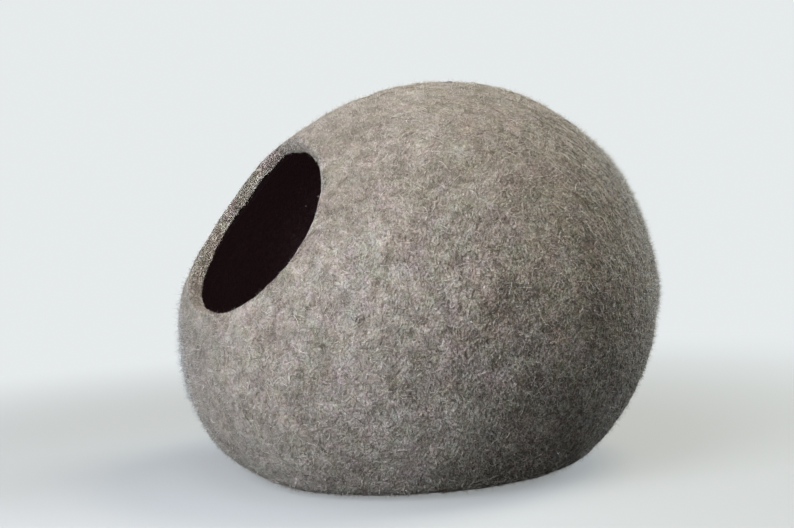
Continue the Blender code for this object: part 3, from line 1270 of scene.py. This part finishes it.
# %% Strips of the shell and standing hairs
HALO_GAP = 5                 # rows of the grid between the halo and the lip
CURLED_GAP = 22              # and between the curled hairs and the lip
PAST_LIP = 2                 # rows past the lip's end that count as its cut face too
TUFTS_FROM = 2               # row of the cut face where the tufts begin
INSIDE_FROM = 5              # rows past the lip's end between which the inside hairs grow
INSIDE_TO = 26
OUTSIDE = SHELL_GRID[FOOT_ROWS:LIP_START + LIP_ZONES[0]]
AWAY_FROM_LIP = SHELL_GRID[FOOT_ROWS:LIP_START - HALO_GAP]
WELL_AWAY_FROM_LIP = SHELL_GRID[FOOT_ROWS:LIP_START - CURLED_GAP]
LIP_END = LIP_START + sum(LIP_ZONES)
CUT_FACE = SHELL_GRID[LIP_START + LIP_ZONES[0]:LIP_END + PAST_LIP]
INNER_CORNER = CUT_FACE[TUFTS_FROM:]
JUST_INSIDE = SHELL_GRID[LIP_END + INSIDE_FROM:LIP_END + INSIDE_TO]
LOOSE = np.array([
    # where the wool was left loosest: around, above level, how much, spread
    (132.0, 32.0, 1.0, 14.0),        # far shoulder
    (132.0, 8.0, 0.7, 17.0),         # far side
    (-21.0, -8.0, 0.5, 13.0),        # beside the mouth, low in front
])
STANDING_HAIRS = (
    # name, seed, strip, count, shortest and longest, width, least and most lift, fleece,
    # joints, gathered
    ("nap_a", 21, OUTSIDE, 22000, (0.0012, 0.0046), 0.00028, (0.2, 2.6), FLEECE, 2, None),
    ("nap_b", 22, OUTSIDE, 22000, (0.0012, 0.0046), 0.00028, (0.2, 2.6), FLEECE, 2, None),
    ("halo_a", 25, AWAY_FROM_LIP, 11000, (0.0025, 0.0070), 0.00023, (0.9, 5.0), HALO_FLEECE, 3, None),
    ("halo_b", 26, AWAY_FROM_LIP, 19000, (0.0020, 0.0066), 0.00032, (1.0, 6.0), HALO_FLEECE, 2, None),
    ("loose_fuzz", 27, AWAY_FROM_LIP, 9800, (0.0026, 0.0085), 0.00032, (1.0, 6.0), LOOSE_FLEECE, 2, LOOSE),
    ("lip_tufts", 30, INNER_CORNER, 500, (0.0010, 0.0026), 0.00036, (0.5, 2.5), FLEECE, 3, None),
    ("lip_hairs", 31, CUT_FACE, 3600, (0.0008, 0.0026), 0.00018, (0.2, 1.6), FLEECE, 3, None),
    ("inside_hairs", 32, JUST_INSIDE, 3000, (0.0012, 0.0040), 0.00018, (0.3, 1.6), DARK_FLEECE, 3, None),
)

hair_pieces = []
for standing_row in STANDING_HAIRS:
    hair_pieces.append(standing_hairs(*standing_row))
print("standing hair faces", [len(piece.data.polygons) for piece in hair_pieces])

# %% [markdown]
# ## Longer hairs
#
# Four kinds of longer hair lie on the skin. Curled ones are strewn evenly, either pale or
# nearly black. Short coarse ones gather on the far side, where the wool is looser. On the
# far shoulder the last wool was combed down, so its hairs lie side by side. And a few catch
# the eye one by one, such as a white kemp or a loop at the foot.
#
# Curve objects would suit them, but each would need its own object. They are tubes again,
# pressed onto the skin joint by joint. The first three kinds are drawn at random round a
# middle and a spread, and the last is a table in which every hair is listed one by one.

# %% Curled hairs
CURLED = 3400                # in each of the two pieces
CURLED_WIDTHS = (0.00024, 0.00052)
CURLED_LENGTHS = (0.004, 0.016)
CURLED_TURN = 0.42
CURLED_LIFTS = (0.0003, 0.0013)
CURLED_JOINTS = 6


def curled_hairs(name, seed, count):
    """Curled hairs strewn evenly over the skin away from the lip."""
    draw = np.random.default_rng(seed)
    place, _ = places_on(draw, WELL_AWAY_FROM_LIP, count)
    x, y, z = direction_of(place).T
    around = np.degrees(np.arctan2(x, -y))
    above = np.degrees(np.arcsin(z))
    bearing = draw.uniform(0.0, 360.0, size=count)
    width = draw.uniform(*CURLED_WIDTHS, size=count)
    shortest, longest = CURLED_LENGTHS
    length = shortest + (longest - shortest) * draw.uniform(size=count) ** 2
    curl = draw.normal(size=count) * CURLED_TURN
    lift = draw.uniform(*CURLED_LIFTS, size=count)
    colour = fleece_colours(draw, count, CURLED_FLEECE)
    return lying_hairs(name, around, above, bearing, length, curl, width, lift, colour, CURLED_JOINTS)


hair_pieces.append(curled_hairs("curled_a", 41, CURLED))
hair_pieces.append(curled_hairs("curled_b", 42, CURLED))
print("curled hair faces", [len(piece.data.polygons) for piece in hair_pieces[-2:]])

# %% Coarse hairs of the far side
COARSE_COUNT = 7000
COARSE_WIDTHS = (0.00022, 0.00046)
COARSE_LENGTHS = (0.0020, 0.0080)
COARSE_SHORTNESS = 1.5
COARSE_TURN = 0.5
COARSE_LIFTS = (0.0002, 0.0010)
COARSE_JOINTS = 4
GATHERED_ROUND = (114.0, 26.0)         # middle and spread of where they lie
GATHERED_ABOVE = (-2.0, 26.0)
GATHERED_LOWEST = -38.0                # never under the foot, and never over the crown
GATHERED_HIGHEST = 75.0


def coarse_hairs(name, seed, count):
    """Short coarse hairs, gathered on the far side where the wool is looser."""
    draw = np.random.default_rng(seed)
    around = draw.normal(*GATHERED_ROUND, size=count)
    above = np.clip(draw.normal(*GATHERED_ABOVE, size=count), GATHERED_LOWEST, GATHERED_HIGHEST)
    bearing = draw.uniform(0.0, 360.0, size=count)
    width = draw.uniform(*COARSE_WIDTHS, size=count)
    shortest, longest = COARSE_LENGTHS
    length = shortest + (longest - shortest) * draw.uniform(size=count) ** COARSE_SHORTNESS
    curl = draw.normal(size=count) * COARSE_TURN
    lift = draw.uniform(*COARSE_LIFTS, size=count)
    colour = fleece_colours(draw, count, COARSE_FLEECE)
    return lying_hairs(name, around, above, bearing, length, curl, width, lift, colour, COARSE_JOINTS)


hair_pieces.append(coarse_hairs("coarse_hairs", 43, COARSE_COUNT))
print("coarse hair faces", len(hair_pieces[-1].data.polygons))

# %% Combed hairs of the far shoulder
COMBED = 520
COMBED_ROUND = (111.0, 9.0)            # middle and spread of where they lie
COMBED_ABOVE = (30.0, 14.0)
COMBED_BEARING = (153.0, 12.0)
COMBED_FAN = 0.8                       # how much the bearing turns with the place round the cave
COMBED_LENGTHS = (0.008, 0.024)
COMBED_TURN = 0.06
COMBED_WIDTHS = (0.00022, 0.00046)
COMBED_LIFTS = (0.0002, 0.0009)
COMBED_JOINTS = 8


def combed_hairs(name, seed, count):
    """Hairs laid nearly side by side, as the last wool was combed over the far shoulder."""
    draw = np.random.default_rng(seed)
    around = draw.normal(*COMBED_ROUND, size=count)
    above = draw.normal(*COMBED_ABOVE, size=count)
    bearing = draw.normal(*COMBED_BEARING, size=count) + (around - COMBED_ROUND[0]) * COMBED_FAN
    length = draw.uniform(*COMBED_LENGTHS, size=count)
    curl = draw.normal(size=count) * COMBED_TURN
    width = draw.uniform(*COMBED_WIDTHS, size=count)
    lift = draw.uniform(*COMBED_LIFTS, size=count)
    colour = fleece_colours(draw, count, CURLED_FLEECE)
    return lying_hairs(name, around, above, bearing, length, curl, width, lift, colour, COMBED_JOINTS)


hair_pieces.append(combed_hairs("combed_hairs", 45, COMBED))
print("combed hair faces", len(hair_pieces[-1].data.polygons))

# %% Hairs listed one by one
HAND_LAID = np.array([
    # around, above, bearing, length, curl, width, lift, brightness
    (89.5, -31.0, 140.0, 0.0100, 0.02, 0.00055, 0.0006, 0.80),     # coarse white kemp low on the side
    (71.5, -35.5, 160.0, 0.0130, 0.45, 0.00030, 0.0012, 0.45),     # loops that hang before the foot
    (75.0, -37.0, 40.0, 0.0110, -0.55, 0.00028, 0.0012, 0.42),
    (83.5, -38.5, 25.0, 0.0100, 0.60, 0.00028, 0.0011, 0.42),
    (87.0, -38.0, 200.0, 0.0090, -0.50, 0.00026, 0.0010, 0.40),
    (95.0, 22.5, 178.0, 0.0260, 0.10, 0.00034, 0.0008, 0.62),      # long pale ones on the cheek
    (106.5, 23.5, 165.0, 0.0300, 0.12, 0.00034, 0.0008, 0.62),
    (108.5, 20.0, 200.0, 0.0200, -0.14, 0.00030, 0.0008, 0.58),
    (100.0, -5.0, 160.0, 0.0140, -0.22, 0.00032, 0.0008, 0.60),
    (104.0, -10.0, 80.0, 0.0180, 0.08, 0.00028, 0.0007, 0.50),
    (92.0, 30.5, 150.0, 0.0170, 0.25, 0.00030, 0.0007, 0.60),
    (84.0, -16.0, 30.0, 0.0120, 0.35, 0.00030, 0.0008, 0.50),
    (97.0, 3.0, 20.0, 0.0130, 0.30, 0.00030, 0.0008, 0.52),
    (52.0, 44.0, 100.0, 0.0090, 0.30, 0.00026, 0.0006, 0.70),
    (36.0, 17.0, 60.0, 0.0080, 0.30, 0.00024, 0.0006, 0.72),
    (127.0, -14.0, 95.0, 0.0050, 0.10, 0.00070, 0.0022, 0.04),     # small dark tuft on the far edge
    (127.8, -15.2, 110.0, 0.0045, -0.20, 0.00070, 0.0026, 0.05),
    (126.6, -13.2, 70.0, 0.0040, 0.30, 0.00060, 0.0020, 0.05),
    (-70.0, 20.0, 150.0, 0.0200, 0.15, 0.00034, 0.0008, 0.62),
    (-110.0, 5.0, 200.0, 0.0180, -0.20, 0.00034, 0.0008, 0.62),
    (178.0, 30.0, 120.0, 0.0220, 0.12, 0.00034, 0.0008, 0.62),
    (160.0, -8.0, 60.0, 0.0150, 0.25, 0.00034, 0.0008, 0.62),
])
CREAM = np.array([1.0, 0.955, 0.89])
HAND_LAID_JOINTS = 14


def hand_laid_hairs(name, table):
    """The hairs that catch the eye, each listed one by one."""
    around, above, bearing, length, curl, width, lift, bright = table.T
    colour = bright[:, None] * CREAM
    return lying_hairs(name, around, above, bearing, length, curl, width, lift, colour, HAND_LAID_JOINTS)


hair_pieces.append(hand_laid_hairs("hand_laid_hairs", HAND_LAID))
print("hairs laid by hand", len(HAND_LAID))

# %% [markdown]
# ## Wool of the loose hairs
#
# One strand of wool is a smooth scaly fibre, so it shines a little more than the felt. Every
# kind of hair could have a material of its own. Here one material serves them all, because
# each hair carries its colour as an attribute of its mesh.

# %% Material of the loose hairs
WORN = (500.0, 2.0, 0.6)     # waves a metre, detail and roughness of the wear
WORN_STOPS = ((0.3, (0.80, 0.79, 0.77)), (0.7, (1.0, 1.0, 1.0)))


def make_hair_wool():
    """Wool in each hair's own colour, a little worn along its length."""
    material, nodes, links = new_material("loose_wool_hair")
    shader = nodes["Principled BSDF"]
    own = nodes.new("ShaderNodeAttribute")
    own.attribute_name = "wool_colour"
    place = nodes.new("ShaderNodeTexCoord").outputs["Object"]
    worn = noise(nodes, links, place, *WORN).outputs["Fac"]
    shade = ramp(nodes, links, worn, WORN_STOPS)
    colour = mix_colours(nodes, links, 1.0, own.outputs["Color"], shade, "MULTIPLY")
    links.new(colour, shader.inputs["Base Color"])
    shader.inputs["Roughness"].default_value = 0.7
    shader.inputs["Specular IOR Level"].default_value = 0.3
    return material


hair_wool = make_hair_wool()
for piece in hair_pieces:
    piece.data.materials.append(hair_wool)
print("hair pieces", [piece.name for piece in hair_pieces])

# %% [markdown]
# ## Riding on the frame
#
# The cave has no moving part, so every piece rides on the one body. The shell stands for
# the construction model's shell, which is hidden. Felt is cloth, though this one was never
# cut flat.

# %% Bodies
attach(shell, "root")
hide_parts("felt_shell")
for piece in hair_pieces:
    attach(piece, "root")
print("pieces that ride on the frame", 1 + len(hair_pieces))

# %% [markdown]
# ## Floor
#
# The cave stands on a wide pale floor that runs into the backdrop, as a sheet of studio
# paper does. Such a floor would throw a lot of light up under the cave, while a cave like
# this is usually seen on a dark rug. So the floor is pale only to the camera, and dimmer to
# every other ray, which a light path node tells apart.
#
# A bent sheet could hide the horizon. Here the colour does it: near the cave the floor has
# part of the backdrop's light and takes the rest from the lamps, so the cave's soft shadow
# shows, and further out the backdrop's light takes over.

# %% Floor
FLOOR_REACH = 12.0                     # metres from the middle to each side
ROOM_SEEN = (0.790, 0.825, 0.835)
FLOOR_SEEN = (0.25, 0.265, 0.28)
FLOOR_FELT = (0.075, 0.079, 0.083)     # what the floor throws back
FLOOR_GLOW = 0.34                      # share of the backdrop's light that the near floor has too
FLOOR_NEAR = 0.30                      # from here outwards the floor fades into the backdrop
FLOOR_FAR = 1.2
NO_LIGHT = (0.0, 0.0, 0.0)


def seen_by_camera(nodes):
    """One for the camera's own rays, and nothing for every other ray."""
    return nodes.new("ShaderNodeLightPath").outputs["Is Camera Ray"]


def make_floor():
    """A very wide pale floor that fades into the backdrop.

    The fade is a smooth step of the distance from the middle.  The backdrop's light is the
    glow's share near the cave, and all of it once the fade is over.
    """
    side = FLOOR_REACH
    corners = np.array([(-side, -side, 0.0), (side, -side, 0.0), (side, side, 0.0), (-side, side, 0.0)])
    floor = add_piece("floor", mesh_from("floor", corners, [np.array([[0, 1, 2, 3]])]))
    material, nodes, links = new_material("pale_floor")
    shader = nodes["Principled BSDF"]
    path = seen_by_camera(nodes)
    place = nodes.new("ShaderNodeTexCoord").outputs["Object"]
    reach = nodes.new("ShaderNodeVectorMath")
    reach.operation = "LENGTH"
    links.new(place, reach.inputs[0])
    fade = nodes.new("ShaderNodeMapRange")
    fade.interpolation_type = "SMOOTHSTEP"
    fade.inputs["From Min"].default_value = FLOOR_NEAR
    fade.inputs["From Max"].default_value = FLOOR_FAR
    links.new(reach.outputs["Value"], fade.inputs["Value"])
    fade = calculate(nodes, links, "MULTIPLY", fade.outputs["Result"], path)
    near = mix_colours(nodes, links, path, FLOOR_FELT, FLOOR_SEEN)
    links.new(mix_colours(nodes, links, fade, near, NO_LIGHT), shader.inputs["Base Color"])
    glow = calculate(nodes, links, "MULTIPLY_ADD", fade, 1.0 - FLOOR_GLOW, FLOOR_GLOW)
    glow = calculate(nodes, links, "MULTIPLY", glow, path)
    links.new(mix_colours(nodes, links, glow, NO_LIGHT, ROOM_SEEN), shader.inputs["Emission Color"])
    shader.inputs["Emission Strength"].default_value = 1.0
    shader.inputs["Roughness"].default_value = 0.9
    shader.inputs["Specular IOR Level"].default_value = 0.0
    floor.data.materials.append(material)
    return floor


floor = make_floor()
print("floor reaches", FLOOR_REACH, "m and fades from", FLOOR_NEAR, "to", FLOOR_FAR, "m")

# %% [markdown]
# ## Light
#
# A felt cave in a bright room is lit by large soft things. An environment texture could
# stand for the room, but six broad lamps are easier to steer. A softbox and the window
# behind it light the mouth's side, and a weak lamp from above softens the crown. Behind
# the cave the lit wall and the warmer ceiling above it play the room's own glow. A weak
# lamp from the viewer's side reaches a little way inside. The far lower side faces none of
# them and stays dark, so the round of the body reads.
#
# The world's light is the even rest of the room. As with the floor, the camera sees it
# paler than it lights the cave.

# %% Lamps and world
ROOM_FELT = (0.088, 0.072, 0.053)
LAMPS = (
    # name, degrees from the mouth towards +X, degrees above level, metres away, watts, colour
    ("softbox", 20.0, 20.0, 0.8, 7.0, (0.888, 0.900, 0.985)),
    ("window", 25.0, 12.0, 2.4, 35.2, (0.869, 0.965, 0.985)),
    ("top_light", 30.0, 60.0, 0.8, 2.23, (0.942, 0.975, 0.985)),
    ("lit_wall", 178.0, 14.0, 2.4, 78.0, (0.787, 0.912, 0.985)),
    ("lit_ceiling", 150.0, 60.0, 2.4, 42.4, (1.0, 0.837, 0.540)),
    ("room_behind_camera", 66.0, 10.0, 2.4, 4.60, (1.0, 0.95, 0.90)),
)
LAMP_SHARE = 0.5             # each lamp's width over its distance


def add_room():
    """An even pale room, with one colour for the camera and another for every other ray."""
    world = bpy.data.worlds.new("pale_room")
    world.use_nodes = True
    nodes = world.node_tree.nodes
    links = world.node_tree.links
    room = mix_colours(nodes, links, seen_by_camera(nodes), ROOM_FELT, ROOM_SEEN)
    links.new(room, nodes["Background"].inputs["Color"])
    bpy.context.scene.world = world


def add_lamp(name, around, above, away, watts, colour):
    """A broad square lamp that faces the middle of the cave."""
    lamp = bpy.data.lights.new(name, "AREA")
    lamp.shape = "SQUARE"
    lamp.size = away * LAMP_SHARE
    lamp.energy = watts
    lamp.color = colour
    holder = bpy.data.objects.new(name, lamp)
    bpy.context.scene.collection.objects.link(holder)
    toward = Vector(heading(np.array(around), np.array(above)))
    holder.location = Vector(BODY_CENTRE) + toward * away
    holder.rotation_mode = "QUATERNION"
    holder.rotation_quaternion = toward.to_track_quat("Z", "Y")


add_room()
for lamp_row in LAMPS:
    add_lamp(*lamp_row)
bpy.context.scene.view_settings.view_transform = "Standard"
print("lamps", [lamp_row[0] for lamp_row in LAMPS])
